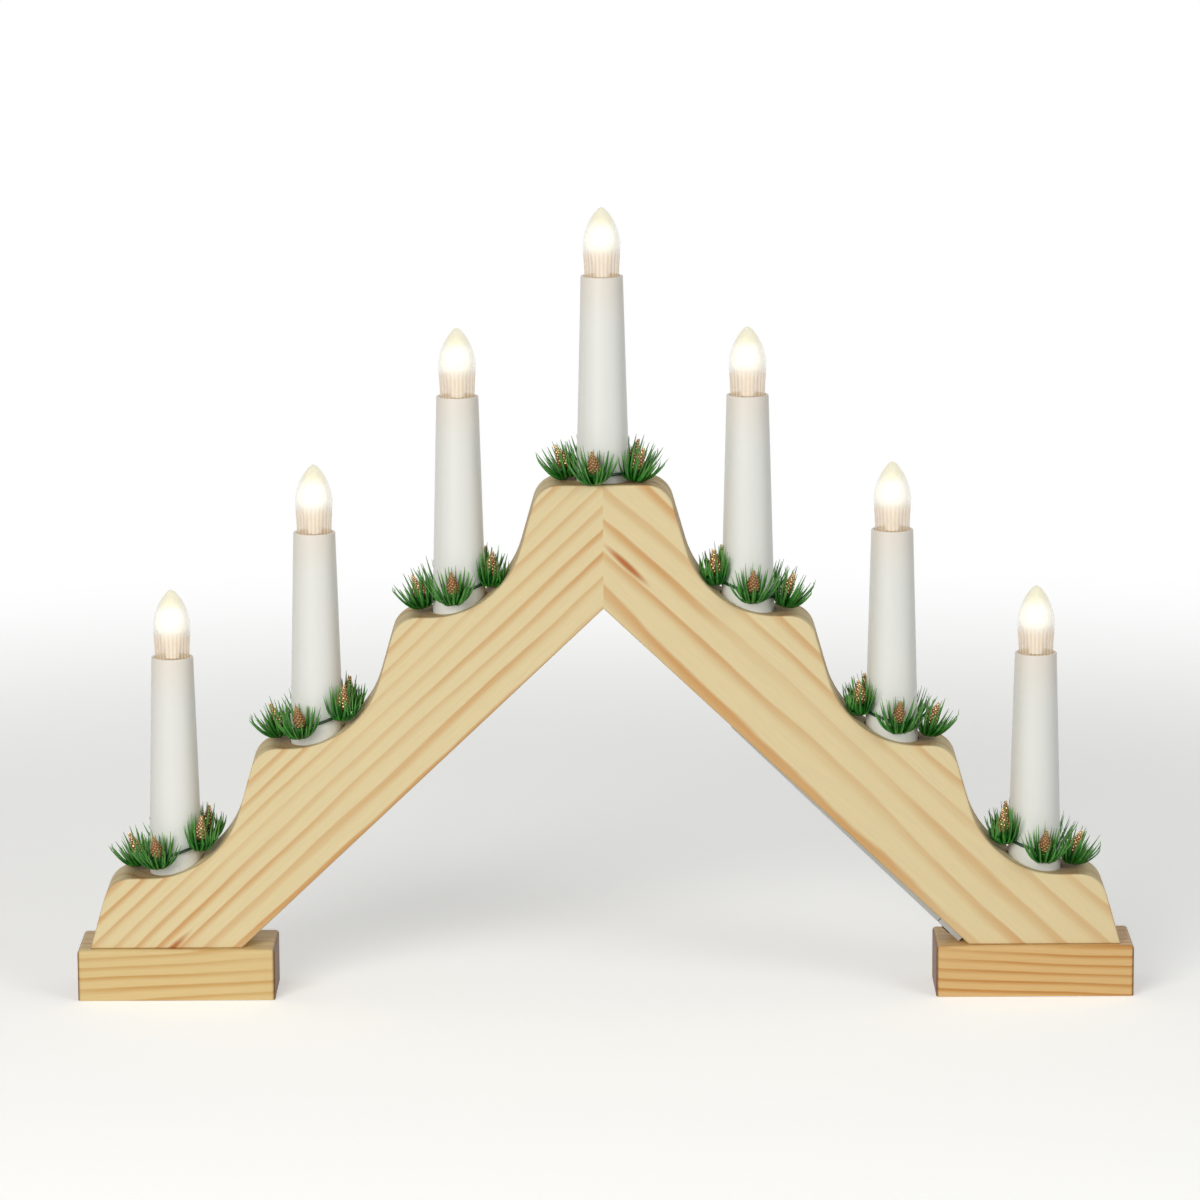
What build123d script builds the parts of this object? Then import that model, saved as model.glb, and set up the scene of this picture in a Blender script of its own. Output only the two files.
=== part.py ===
from build123d import *
import math
import os

# Candle arch: two stepped timber arms on feet, seven electric candles, battery box under one arm.
# The origin is at the middle of the base, +Z up, the front towards -Y. Lengths are in millimetres.

# Timber arms
arm_thickness = 28.0
apex_top = 201.5
apex_depth = 48.2
underside_angle = 43.35
nose_offsets = (16.3, 15.4, 14.5, 16.6)
step_rise = 51.2
step_slope = 74.0
nose_radius = 11.0
valley_radius = 36.0
arm_edge = 0.8

# Feet
foot_height = 20.0
foot_depth = 34.0
foot_inner_overhang = 12.8
foot_outer_overhang = 5.0
foot_edge = 1.5

# Candle sleeves and the seats that are sunk into the timber for them
candle_pitch = 55.7
candles_each_side = 3
sleeve_length = 89.0
sleeve_base_radius = 10.5
sleeve_top_radius = 8.1
sleeve_wall = 1.1
sleeve_rim = 0.4
seat_depths = (10.0, 5.0, 6.5, 4.0)
seat_clearance = 0.2

# Lamps: a flame-shaped clear bulb on a screw base with a diode inside
bulb_height = 26.3
bulb_radius = 7.45
bulb_grip_radius = 6.7
bulb_wall = 0.9
bulb_sunk = 3.0
bulb_shoulder = 0.6
bulb_neck_length = 3.5
cap_radius = 4.75
cap_wall = 0.35
cap_length = 9.0
cap_tip_radius = 1.8
cap_tip_length = 1.2
diode_radius = 2.5
diode_rise = 13.0
diode_round_share = 0.7
flame_radius_shares = (0.95, 1.0, 0.88, 0.61, 0.2)
flame_height_shares = (0.29, 0.47, 0.65, 0.82, 0.975)

# Lampholders, each a post that stands in its sleeve
holder_wall = 1.35
holder_floor = 1.4
holder_post_radius = 3.5
holder_foot_height = 2.0
thread_clearance = 0.2
lamp_clearance = 0.05

# Wreaths of plastic pine, one round each sleeve
ring_radius = 11.4
ring_tube_radius = 0.6
ring_lift = 3.6
stepped_ring_lift = 8.9
ring_tilt = 17.0
tufts_per_wreath = 5
wreath_turns = (-24.0, -23.0, -8.0, -13.0, 6.0, 8.0, 11.0)
tuft_height = 3.8
tuft_drop = 3.0
tuft_base_radius = 0.8
tuft_top_radius = 2.3
tuft_clearance = 0.05
pressed_tuft_drop = 0.7
pressed_tuft_inset = 0.95
pressed_above_share = 0.5

# Needles of a tuft, with the angles at which they stand
needle_length = 13.0
needle_root_radius = 0.45
needle_tip_radius = 0.12
needle_sides = 3
outer_needles = 8
inner_needles = 6
outer_circle_radius = 1.9
inner_circle_radius = 1.7
needle_sunk = 0.5
open_lean = 18.0
open_spread = 26.0
open_side_spread = 34.0
open_inner_share = 0.7
pressed_lean = 5.0
pressed_spread = 9.0
pressed_side_spread = 26.0
pressed_inner_share = 1.0

# Gilded cones in the tufts
cone_length = 9.0
cone_radius = 1.9
cone_rows = 6
cone_scale_share = 0.82
cone_profile_shares = (0.52, 0.84, 1.0, 0.92, 0.7, 0.4)

# Battery box, let into the underside of the right arm down to the foot
box_foot_clearance = 0.3
box_wall = 1.2
cell_side_clearance = 0.95
cell_cover_clearance = 1.1
flange_length = 10.0
flange_thickness = 2.4
switch_end_length = 11.2
switch_end_depth = 9.0
switch_end_rise = 2.4
pocket_clearance = 0.25
lid_side_inset = 0.25
lid_top_thickness = 0.9
lid_end_thickness = 2.3
lid_clearance = 0.1
lid_end_gap = 0.3
cells_in_box = 2
cell_radius = 7.1
cell_length = 49.5
cell_nub_radius = 2.75
cell_nub_length = 1.0
cell_gap = 0.1
contact_thickness = 0.4
contact_size = 12.0
spring_radius = 3.0
spring_length = 7.5

# Switch knob in its slot
knob_travel = 3.6
knob_width = 3.8
knob_length = 4.2
knob_rise = 1.2
knob_depth = 2.5
knob_clearance = 0.2

# Fixings
dowel_radius = 3.0
dowel_length = 24.0
dowel_side = 8.0
screw_radius = 1.9
screw_head_radius = 3.8
screw_head_height = 2.2
foot_screw_length = 26.0
foot_screw_sunk = 3.0
foot_screw_outer_inset = 10.0
foot_screw_inner_inset = 16.8
box_screw_head_radius = 2.4
box_screw_head_height = 1.5
box_screw_radius = 1.2
box_screw_length = 9.0
fixing_clearance = 0.05

# Wiring, in a duct drilled along each arm
duct_depth_share = 0.6
duct_radius = 2.0
wire_radius = 0.9
lead_radius = 0.7
lead_inset = 7.0

# Sizes that follow from those above; a place on the underside is measured down from the apex
slope = math.tan(math.radians(underside_angle))
slope_cos = math.cos(math.radians(underside_angle))
slope_sin = math.sin(math.radians(underside_angle))
candle_numbers = range(-candles_each_side, candles_each_side + 1)
underside_apex = apex_top - apex_depth
duct_depth = apex_depth * duct_depth_share * slope_cos
dowel_height = (underside_apex + apex_top - seat_depths[0]) / 2
cell_step = cell_length + cell_nub_length + cell_gap
box_width = 2 * (cell_radius + cell_side_clearance + box_wall)
box_depth = 2 * cell_radius + cell_cover_clearance + box_wall
lid_width = box_width - 2 * lid_side_inset
box_end_wall = box_wall + contact_thickness
box_length = 2 * box_end_wall + cells_in_box * cell_step + cell_gap + spring_length
box_finish = (underside_apex - foot_height - switch_end_rise * slope_cos - box_foot_clearance) / slope_sin
box_end = box_finish - switch_end_length
box_start = box_end - box_length
lead_place = box_start + lead_inset


def underside_height(x):
    return underside_apex - slope * abs(x)


def duct_height(x):
    return underside_height(x) + duct_depth / slope_cos


def plateau_height(number):
    return apex_top - step_rise * abs(number)


def seat_height(number):
    return plateau_height(number) - seat_depths[abs(number)]


def candle_top(number):
    return seat_height(number) + sleeve_length


def nose_start(step):
    return candle_pitch * step + nose_offsets[step]


# The ends of an arm's toe, where it stands on the foot
toe_turn = math.radians(step_slope)
toe_nose_x = nose_start(candles_each_side) + nose_radius * math.sin(toe_turn)
toe_nose_z = plateau_height(candles_each_side) - nose_radius * (1 - math.cos(toe_turn))
toe_outer_x = toe_nose_x + (toe_nose_z - foot_height) / math.tan(toe_turn)
toe_inner_x = (underside_apex - foot_height) / slope
foot_outer_x = toe_outer_x + foot_outer_overhang
foot_inner_x = toe_inner_x - foot_inner_overhang
foot_screw_outer_x = toe_outer_x - foot_screw_outer_inset
foot_screw_inner_x = toe_inner_x + foot_screw_inner_inset


def arm_profile():
    # One arm seen from the front: four waves, a level toe, a straight underside and a plumb mitre.
    turn = toe_turn
    drop_share = 1 - math.cos(turn)
    riser = (step_rise - (nose_radius + valley_radius) * drop_share) / math.sin(turn)
    with BuildSketch(Plane.XZ) as profile:
        with BuildLine():
            level = apex_top
            here = (0, apex_top)
            for step in range(candles_each_side + 1):
                x = nose_start(step)
                Line(here, (x, level))
                nose = CenterArc((x, level - nose_radius), nose_radius, 90, -step_slope)
                if step == candles_each_side:
                    here = (toe_outer_x, foot_height)
                    Line(nose @ 1, here)
                else:
                    start = nose @ 1 + Vector(math.cos(turn), -math.sin(turn)) * riser
                    Line(nose @ 1, start)
                    level = level - step_rise
                    centre = (start.X + valley_radius * math.sin(turn), level + valley_radius)
                    valley = CenterArc(centre, valley_radius, 270 - step_slope, step_slope)
                    here = valley @ 1
            Line(here, (toe_inner_x, foot_height))
            Line((toe_inner_x, foot_height), (0, underside_apex))
            Line((0, underside_apex), (0, apex_top))
        make_face()
    return profile.sketch


def underside_plane(place):
    # A plane on the right arm's underside, with X running down the slope and Z out of the timber.
    return Plane(
        origin=(place * slope_cos, 0, underside_apex - place * slope_sin),
        x_dir=(slope_cos, 0, -slope_sin),
        z_dir=(-slope_sin, 0, -slope_cos),
    )


def drilling(side):
    # The seats, the risers under them and the duct that joins them, for both arms alike.
    seat_radius = sleeve_base_radius + seat_clearance
    with BuildPart() as cutter:
        for number in range(0, candles_each_side + 1):
            x = side * candle_pitch * number
            with Locations((x, 0, seat_height(number))):
                Cylinder(seat_radius, step_rise, align=(Align.CENTER, Align.CENTER, Align.MIN))
            bottom = duct_height(x)
            with Locations((x, 0, bottom)):
                Cylinder(
                    duct_radius,
                    seat_height(number) - bottom,
                    align=(Align.CENTER, Align.CENTER, Align.MIN),
                )
        add(duct(side, duct_radius))
    return cutter.part


def duct(side, radius):
    last_x = side * candle_pitch * candles_each_side
    with BuildPart() as run:
        with BuildLine():
            Line((0, 0, duct_height(0)), (last_x, 0, duct_height(last_x)))
        with BuildSketch(Plane(origin=(0, 0, duct_height(0)), z_dir=(side * slope_cos, 0, -slope_sin))):
            Circle(radius)
        sweep()
    return run.part


def box_pocket():
    # The space for the battery box: a deep middle, a shallow flange seat and the switch end.
    gap = pocket_clearance
    width = box_width + 2 * gap
    with BuildPart() as pocket:
        with BuildSketch(underside_plane(0)):
            with Locations(((box_start + box_end) / 2, 0)):
                Rectangle(box_length + 2 * gap, width)
        extrude(amount=-(box_depth + gap))
        with BuildSketch(underside_plane(0)):
            with Locations((box_start - flange_length / 2, 0)):
                Rectangle(flange_length + 2 * gap, width)
        extrude(amount=-flange_thickness)
        with BuildSketch(underside_plane(0)):
            with Locations((box_end + switch_end_length / 2, 0)):
                Rectangle(switch_end_length + 2 * gap, width)
        extrude(amount=-(switch_end_depth + gap))
        with BuildSketch(underside_plane(0)):
            with Locations((lead_place, 0)):
                Circle(duct_radius)
        extrude(amount=-duct_depth)
    return pocket.part


def dowels(radius, length):
    with BuildPart() as pair:
        with Locations((0, -dowel_side, dowel_height), (0, dowel_side, dowel_height)):
            Cylinder(radius, length, rotation=(0, 90, 0))
    return pair.part


def wood_screw(radius, head_radius, head_height, length):
    # A countersunk screw that points up, its head's face at the origin.
    with BuildPart() as screw:
        with BuildSketch(Plane.XZ):
            Polygon(
                (0, 0),
                (head_radius, 0),
                (radius, head_height),
                (radius, length - radius),
                (0, length),
                align=None,
            )
        revolve(axis=Axis.Z)
    return screw.part


def foot_screw_set(gap):
    screw = wood_screw(
        screw_radius + gap,
        screw_head_radius + gap,
        screw_head_height,
        foot_screw_length + gap,
    )
    xs = (-foot_screw_outer_x, -foot_screw_inner_x, foot_screw_inner_x, foot_screw_outer_x)
    return [Pos(x, 0, foot_screw_sunk) * screw for x in xs]


def box_screw(gap):
    # The screw through the upper flange, driven up the normal of the slope.
    with BuildPart() as screw:
        with BuildSketch(underside_plane(box_start - flange_length / 2)):
            Circle(box_screw_radius + gap)
        extrude(amount=-box_screw_length)
        with BuildSketch(underside_plane(box_start - flange_length / 2)):
            Circle(box_screw_head_radius)
        extrude(amount=box_screw_head_height)
    return screw.part


def finish(builder, name):
    builder.part.label = name
    export_step(builder.part, f"parts/{name}.step")


os.makedirs("parts", exist_ok=True)

# Timber arms
for side, name in ((-1, "left_arm"), (1, "right_arm")):
    outline = arm_profile()
    if side < 0:
        outline = mirror(outline, about=Plane.YZ)
    with BuildPart() as arm:
        extrude(outline, amount=arm_thickness / 2, both=True)
        faces = arm.faces().filter_by(Axis.Y)
        keep = [e for e in faces.edges() if abs(e.center().X) > arm_edge]
        fillet(keep, arm_edge)
        add(drilling(side), mode=Mode.SUBTRACT)
        add(dowels(dowel_radius + fixing_clearance, dowel_length + 2 * fixing_clearance), mode=Mode.SUBTRACT)
        add(foot_screw_set(fixing_clearance), mode=Mode.SUBTRACT)
        if side > 0:
            add(box_pocket(), mode=Mode.SUBTRACT)
            add(box_screw(fixing_clearance), mode=Mode.SUBTRACT)
    finish(arm, name)

# Feet, with bores that sink the heads of the screws from below
foot_length = foot_outer_x - foot_inner_x
for side, name in ((-1, "left_foot"), (1, "right_foot")):
    with BuildPart() as foot:
        with Locations((side * (foot_inner_x + foot_outer_x) / 2, 0, foot_height / 2)):
            Box(foot_length, foot_depth, foot_height)
        fillet(foot.edges().filter_by(Axis.Z), foot_edge)
        fillet(foot.faces().sort_by(Axis.Z)[-1].edges(), foot_edge)
        add(foot_screw_set(fixing_clearance), mode=Mode.SUBTRACT)
        with Locations(
            (side * foot_screw_outer_x, 0, 0),
            (side * foot_screw_inner_x, 0, 0),
        ):
            Cylinder(
                screw_head_radius + fixing_clearance,
                foot_screw_sunk,
                align=(Align.CENTER, Align.CENTER, Align.MIN),
                mode=Mode.SUBTRACT,
            )
    finish(foot, name)

with BuildPart() as apex_dowels:
    add(dowels(dowel_radius, dowel_length))
finish(apex_dowels, "apex_dowels")

with BuildPart() as foot_screws:
    add(foot_screw_set(0))
finish(foot_screws, "foot_screws")


# Candle sleeves: tapered tubes with a rounded rim
def sleeve(number):
    with BuildPart() as tube:
        with BuildSketch(Plane.XZ):
            Polygon(
                (sleeve_base_radius - sleeve_wall, 0),
                (sleeve_base_radius, 0),
                (sleeve_top_radius, sleeve_length),
                (sleeve_top_radius - sleeve_wall, sleeve_length),
                align=None,
            )
        revolve(axis=Axis.Z)
        fillet(tube.faces().sort_by(Axis.Z)[-1].edges(), sleeve_rim)
    return Pos(candle_pitch * number, 0, seat_height(number)) * tube.part


# Lamps
def bulb_outline(inset):
    # Half the flame shape, from the neck up, drawn in from the outer surface by the inset.
    radii = [bulb_radius * share - inset for share in flame_radius_shares]
    heights = [(bulb_height - inset) * share for share in flame_height_shares]
    tip = (0, bulb_height - inset)
    grip = bulb_grip_radius - inset
    neck = cap_radius - cap_wall - lamp_clearance - inset
    with BuildSketch(Plane.XZ) as half:
        with BuildLine():
            Polyline(
                (0, -bulb_sunk - bulb_neck_length),
                (neck, -bulb_sunk - bulb_neck_length),
                (neck, -bulb_sunk + inset),
                (grip, -bulb_sunk + bulb_shoulder + inset),
                (grip, 0),
            )
            Spline((grip, 0), *zip(radii, heights), tip)
            Line(tip, (0, -bulb_sunk - bulb_neck_length))
        make_face()
    return half.sketch


def bulb(number):
    with BuildPart() as envelope:
        revolve(bulb_outline(0), axis=Axis.Z)
        revolve(bulb_outline(bulb_wall), axis=Axis.Z, mode=Mode.SUBTRACT)
    return Pos(candle_pitch * number, 0, candle_top(number)) * envelope.part


def lamp_base(number):
    # The screw shell with its contact, and the diode that stands in it.
    top = -bulb_sunk - lamp_clearance
    bottom = top - cap_length
    bore = cap_radius - cap_wall
    with BuildPart() as shell:
        with BuildSketch(Plane.XZ):
            Polygon(
                (0, bottom - cap_tip_length),
                (cap_tip_radius, bottom - cap_tip_length),
                (cap_tip_radius, bottom),
                (cap_radius, bottom),
                (cap_radius, top),
                (bore, top),
                (bore, bottom + cap_wall),
                (0, bottom + cap_wall),
                align=None,
            )
        revolve(axis=Axis.Z)
        with BuildSketch(Plane.XY.offset(bottom + cap_wall)):
            Circle(diode_radius)
        extrude(amount=diode_rise)
        fillet(shell.faces().sort_by(Axis.Z)[-1].edges(), diode_radius * diode_round_share)
    return Pos(candle_pitch * number, 0, candle_top(number)) * shell.part


def lampholder(number):
    # A foot on the seat's floor, a hollow post and a threaded cup under the lamp.
    rim = -bulb_sunk - lamp_clearance
    bore = cap_radius + thread_clearance
    cup_floor = rim - cap_length - cap_tip_length - thread_clearance
    base = -sleeve_length
    foot_radius = sleeve_base_radius - sleeve_wall - seat_clearance
    with BuildPart() as holder:
        with BuildSketch(Plane.XZ):
            Polygon(
                (wire_radius, base),
                (foot_radius, base),
                (foot_radius, base + holder_foot_height),
                (holder_post_radius, base + holder_foot_height),
                (holder_post_radius, cup_floor - holder_floor),
                (bore + holder_wall, cup_floor - holder_floor),
                (bore + holder_wall, rim),
                (bore, rim),
                (bore, cup_floor),
                (wire_radius, cup_floor),
                align=None,
            )
        revolve(axis=Axis.Z)
    return Pos(candle_pitch * number, 0, candle_top(number)) * holder.part


# Wreaths
def wreath_plane(number):
    # The ring's plane: level round the middle candle, raised on the uphill side on the steps.
    lift = stepped_ring_lift if number else ring_lift
    side = (number > 0) - (number < 0)
    lean = math.radians(ring_tilt * side)
    return Plane(
        origin=(candle_pitch * number, 0, plateau_height(number) + lift),
        x_dir=(math.cos(lean), 0, -math.sin(lean)),
        z_dir=(math.sin(lean), 0, math.cos(lean)),
    )


def wreath_ring(number):
    plane = wreath_plane(number)
    with BuildPart() as ring:
        Torus(ring_radius, ring_tube_radius)
    return plane.location * ring.part


def tuft_places(number):
    # Each tuft stands upright at its turn round the ring; those against the timber are pressed.
    side = (number > 0) - (number < 0)
    plane = wreath_plane(number)
    places = []
    for index in range(tufts_per_wreath):
        turn = wreath_turns[number + candles_each_side] + 360 / tufts_per_wreath * index
        across = math.sin(math.radians(turn))
        along = -math.cos(math.radians(turn))
        pressed = -across * side > pressed_above_share
        reach = ring_radius + ring_tube_radius + tuft_top_radius + tuft_clearance
        reach = reach - pressed_tuft_inset if pressed else reach
        drop = pressed_tuft_drop if pressed else tuft_drop
        rise = -across * reach * math.tan(math.radians(ring_tilt * side))
        x = plane.origin.X + across * reach
        place = Pos(x, along * reach, plane.origin.Z + rise - drop) * Rot(0, 0, turn - 90)
        places.append((place, pressed))
    return places


def needle(root, direction):
    plane = Plane(origin=root, z_dir=direction)
    with BuildPart() as strand:
        with BuildSketch(plane):
            RegularPolygon(needle_root_radius, needle_sides)
        with BuildSketch(plane.offset(needle_length)):
            RegularPolygon(needle_tip_radius, needle_sides)
        loft(ruled=True)
    return strand.part


def tuft(lean, spread, side_spread, inner_share):
    # A small cup with two circles of needles that open like a shuttlecock, outwards along +X.
    needles = []
    circles = (
        (outer_needles, outer_circle_radius, 1),
        (inner_needles, inner_circle_radius, inner_share),
    )
    for count, radius, opening in circles:
        for index in range(count):
            turn = 2 * math.pi * (index + opening / 2) / count
            out = math.radians(lean + spread * opening * math.cos(turn))
            aside = math.radians(side_spread * opening * math.sin(turn))
            root = (radius * math.cos(turn), radius * math.sin(turn), tuft_height - needle_sunk)
            needles.append(needle(root, (math.tan(out), math.tan(aside), 1)))
    with BuildPart() as cup:
        Cone(
            tuft_base_radius,
            tuft_top_radius,
            tuft_height,
            align=(Align.CENTER, Align.CENTER, Align.MIN),
        )
        add(needles)
    return cup.part


def gold_cone(lean):
    # A small cone of overlapping scale rows, standing on its tuft's cup.
    row = cone_length / cone_rows
    points = [(0, 0)]
    for index, share in enumerate(cone_profile_shares):
        points.append((cone_radius * share * cone_scale_share, row * index))
        points.append((cone_radius * share, row * (index + cone_scale_share)))
    points.append((0, cone_length))
    with BuildPart() as body:
        with BuildSketch(Plane.XZ):
            Polygon(*points, align=None)
        revolve(axis=Axis.Z)
    base = cone_radius * cone_profile_shares[0] * cone_scale_share * math.sin(math.radians(lean))
    return Pos(0, 0, tuft_height + base + tuft_clearance) * Rot(0, lean, 0) * body.part


open_tuft = tuft(open_lean, open_spread, open_side_spread, open_inner_share)
pressed_tuft = tuft(pressed_lean, pressed_spread, pressed_side_spread, pressed_inner_share)
open_cone = gold_cone(open_lean)
pressed_cone = gold_cone(pressed_lean)

for number in candle_numbers:
    order = number + candles_each_side + 1
    with BuildPart() as candle_sleeve:
        add(sleeve(number))
    finish(candle_sleeve, f"candle_sleeve_{order}")
    with BuildPart() as flame_bulb:
        add(bulb(number))
    finish(flame_bulb, f"flame_bulb_{order}")
    with BuildPart() as base:
        add(lamp_base(number))
    finish(base, f"lamp_base_{order}")
    with BuildPart() as ring:
        add(wreath_ring(number))
    finish(ring, f"wreath_ring_{order}")
    places = tuft_places(number)
    with BuildPart() as pine_tufts:
        add([place * (pressed_tuft if pressed else open_tuft) for place, pressed in places])
    finish(pine_tufts, f"pine_tufts_{order}")
    with BuildPart() as gold_cones:
        add([place * (pressed_cone if pressed else open_cone) for place, pressed in places])
    finish(gold_cones, f"gold_cones_{order}")

with BuildPart() as lampholders:
    add([lampholder(number) for number in candle_numbers])
finish(lampholders, "lampholders")

# Battery box: an open tray, an upper flange and a switch end that stands a little proud
knob_place = box_end + switch_end_length / 2
with BuildPart() as battery_box:
    with BuildSketch(underside_plane(0)):
        with Locations(((box_start + box_end) / 2, 0)):
            Rectangle(box_length, box_width)
    extrude(amount=-box_depth)
    with BuildSketch(underside_plane(0)):
        with Locations((box_start - flange_length / 2, 0)):
            Rectangle(flange_length, box_width)
    extrude(amount=-flange_thickness)
    with BuildSketch(underside_plane(0).offset(-switch_end_depth)):
        with Locations((knob_place, 0)):
            Rectangle(switch_end_length, box_width)
    extrude(amount=switch_end_depth + switch_end_rise)
    with BuildSketch(underside_plane(0)):
        with Locations(((box_start + box_end) / 2, 0)):
            Rectangle(box_length - 2 * box_wall, box_width - 2 * box_wall)
    extrude(amount=-(box_depth - box_wall), mode=Mode.SUBTRACT)
    with BuildSketch(underside_plane(0).offset(switch_end_rise)):
        with Locations((knob_place, 0)):
            Rectangle(knob_width + 2 * knob_clearance, knob_length + knob_travel + 2 * knob_clearance)
    extrude(amount=-(knob_depth + knob_clearance), mode=Mode.SUBTRACT)
    add(box_screw(fixing_clearance), mode=Mode.SUBTRACT)
finish(battery_box, "battery_box")

# The lid hooks in at its upper end, where its edge is round about the pivot
pivot_place = box_start + lid_end_gap + lid_top_thickness / 2
pivot_height = lid_clearance + lid_top_thickness / 2
lid_profile_plane = Plane(
    origin=underside_plane(0).origin,
    x_dir=underside_plane(0).x_dir,
    z_dir=(0, 1, 0),
)
with BuildPart() as battery_lid:
    with BuildSketch(lid_profile_plane):
        lid_finish = box_end - lid_end_gap
        Polygon(
            (pivot_place, lid_clearance),
            (lid_finish, lid_clearance),
            (lid_finish, lid_clearance + lid_end_thickness),
            (pivot_place, lid_clearance + lid_top_thickness),
            align=None,
        )
        with Locations((pivot_place, pivot_height)):
            Circle(lid_top_thickness / 2)
    extrude(amount=lid_width / 2, both=True)
finish(battery_lid, "battery_lid")

# Two cells in line, their contacts and the spring at the lower end
cell_axis = -(box_depth - box_wall - cell_radius)
first_cell = box_start + box_end_wall + cell_gap + cell_nub_length
contact_last = box_end - box_end_wall


def along_box(place):
    # A plane across the box at a place down the slope, its Z running down the slope.
    frame = underside_plane(place)
    return Plane(origin=frame.origin + frame.z_dir * cell_axis, x_dir=(0, 1, 0), z_dir=frame.x_dir)


with BuildPart() as battery_cells:
    for index in range(cells_in_box):
        start = first_cell + cell_step * index
        with BuildSketch(along_box(start)):
            Circle(cell_radius)
        extrude(amount=cell_length)
        with BuildSketch(along_box(start)):
            Circle(cell_nub_radius)
        extrude(amount=-cell_nub_length)
finish(battery_cells, "battery_cells")

with BuildPart() as battery_contacts:
    for place in (box_start + box_wall, contact_last):
        with BuildSketch(along_box(place)):
            Rectangle(contact_size, contact_size)
        extrude(amount=contact_thickness)
    with BuildSketch(along_box(contact_last - spring_length)):
        Circle(spring_radius)
    extrude(amount=spring_length)
finish(battery_contacts, "battery_contacts")

with BuildPart() as flange_screw:
    add(box_screw(0))
finish(flange_screw, "flange_screw")

# The knob stands at the end of its slot that switches the lamps on
with BuildPart() as switch_knob:
    with BuildSketch(underside_plane(0).offset(switch_end_rise - knob_depth)):
        with Locations((knob_place, knob_travel / 2)):
            Rectangle(knob_width, knob_length)
    extrude(amount=knob_depth + knob_rise)
finish(switch_knob, "switch_knob")

# Wiring: a run along each duct, a riser to each lampholder and a lead to the box
with BuildPart() as wiring:
    add([duct(side, wire_radius) for side in (-1, 1)])
    for number in candle_numbers:
        x = candle_pitch * number
        with Locations((x, 0, duct_height(x))):
            Cylinder(
                lead_radius,
                seat_height(number) - duct_height(x),
                align=(Align.CENTER, Align.CENTER, Align.MIN),
            )
    with BuildSketch(underside_plane(0).offset(-duct_depth)):
        with Locations((lead_place, 0)):
            Circle(lead_radius)
    extrude(amount=duct_depth - box_depth)
finish(wiring, "wiring")
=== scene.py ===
# %% [markdown]
# The candle arch is two pine arms on pine feet, seven electric candles, and a small plastic
# pine wreath round each candle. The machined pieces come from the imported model, which is
# loaded here as a fixed frame: they get finishes, and their shapes stay as they are. The
# soft and glowing pieces are then made around them.

# %% Load the frame
import math
import random

import bpy
from mathutils import Matrix, Vector


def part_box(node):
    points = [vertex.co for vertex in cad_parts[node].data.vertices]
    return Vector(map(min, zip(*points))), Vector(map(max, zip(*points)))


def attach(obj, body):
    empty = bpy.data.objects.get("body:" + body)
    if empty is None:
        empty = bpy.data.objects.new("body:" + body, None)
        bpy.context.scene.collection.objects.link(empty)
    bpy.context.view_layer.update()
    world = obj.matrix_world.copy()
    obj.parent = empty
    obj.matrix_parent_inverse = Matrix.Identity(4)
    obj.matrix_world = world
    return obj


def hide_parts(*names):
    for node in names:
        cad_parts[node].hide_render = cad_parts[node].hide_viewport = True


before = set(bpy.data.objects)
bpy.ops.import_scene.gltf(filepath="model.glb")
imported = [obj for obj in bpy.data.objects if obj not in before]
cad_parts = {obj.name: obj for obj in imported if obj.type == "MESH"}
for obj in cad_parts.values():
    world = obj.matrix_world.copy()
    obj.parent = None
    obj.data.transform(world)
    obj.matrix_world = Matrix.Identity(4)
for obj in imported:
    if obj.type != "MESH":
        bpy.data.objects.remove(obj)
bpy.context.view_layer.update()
MM = 0.001

# %% [markdown]
# Every finish is built from shader nodes. A short helper keeps that readable: it adds one
# node, sets its options, and fills its inputs in order with a number, a colour or a link.
# The others are the node set-ups that come back most often, each under a plain name.

# %% Node helpers
def node(tree, kind, *values, **options):
    made = tree.nodes.new(kind)
    for name, value in options.items():
        setattr(made, name, value)
    for socket, value in zip(made.inputs, values):
        if isinstance(value, bpy.types.NodeSocket):
            tree.links.new(value, socket)
        elif value is not None:
            socket.default_value = value
    return made


def maths(tree, operation, *values):
    return node(tree, "ShaderNodeMath", *values, operation=operation).outputs[0]


def scaled(tree, value, factor, start):
    return maths(tree, "ADD", maths(tree, "MULTIPLY", value, factor), start)


def vector_maths(tree, operation, *values):
    return node(tree, "ShaderNodeVectorMath", *values, operation=operation)


def noise(tree, position, scale, detail, roughness=0.5):
    # The input that is passed over, W, isn't used by noise in three dimensions.
    return node(tree, "ShaderNodeTexNoise", position, None, scale, detail, roughness).outputs[0]


def drawn_noise(tree, position, cells_per_metre, detail, roughness=0.5):
    # Noise with a scale of its own on each axis, so that its cells can be long and thin.
    drawn = vector_maths(tree, "MULTIPLY", position, cells_per_metre).outputs[0]
    return noise(tree, drawn, 1.0, detail, roughness)


def soft_step(tree, value, low, high):
    limits = (low, high, 0.0, 1.0)
    made = node(tree, "ShaderNodeMapRange", value, *limits, interpolation_type="SMOOTHSTEP")
    return made.outputs[0]


print("node helpers ready")

# %% [markdown]
# Colours are easier to judge as the 0 to 255 values that an eyedropper shows, but the
# renderer works with light, where half the value isn't half the light. One helper turns
# the first into the second. The others mix two colours, and shade one by a share.

# %% Colour helpers
def colour(red, green, blue):
    def linear(value):
        share = value / 255
        return share / 12.92 if share <= 0.04045 else ((share + 0.055) / 1.055) ** 2.4

    return (linear(red), linear(green), linear(blue), 1.0)


def mix_colour(tree, factor, first, second, blend="MIX"):
    made = tree.nodes.new("ShaderNodeMix")
    made.data_type = "RGBA"
    made.blend_type = blend
    for name, value in (("Factor_Float", factor), ("A_Color", first), ("B_Color", second)):
        socket = next(s for s in made.inputs if s.identifier == name)
        if isinstance(value, bpy.types.NodeSocket):
            tree.links.new(value, socket)
        else:
            socket.default_value = value
    return next(s for s in made.outputs if s.identifier == "Result_Color")


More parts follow.
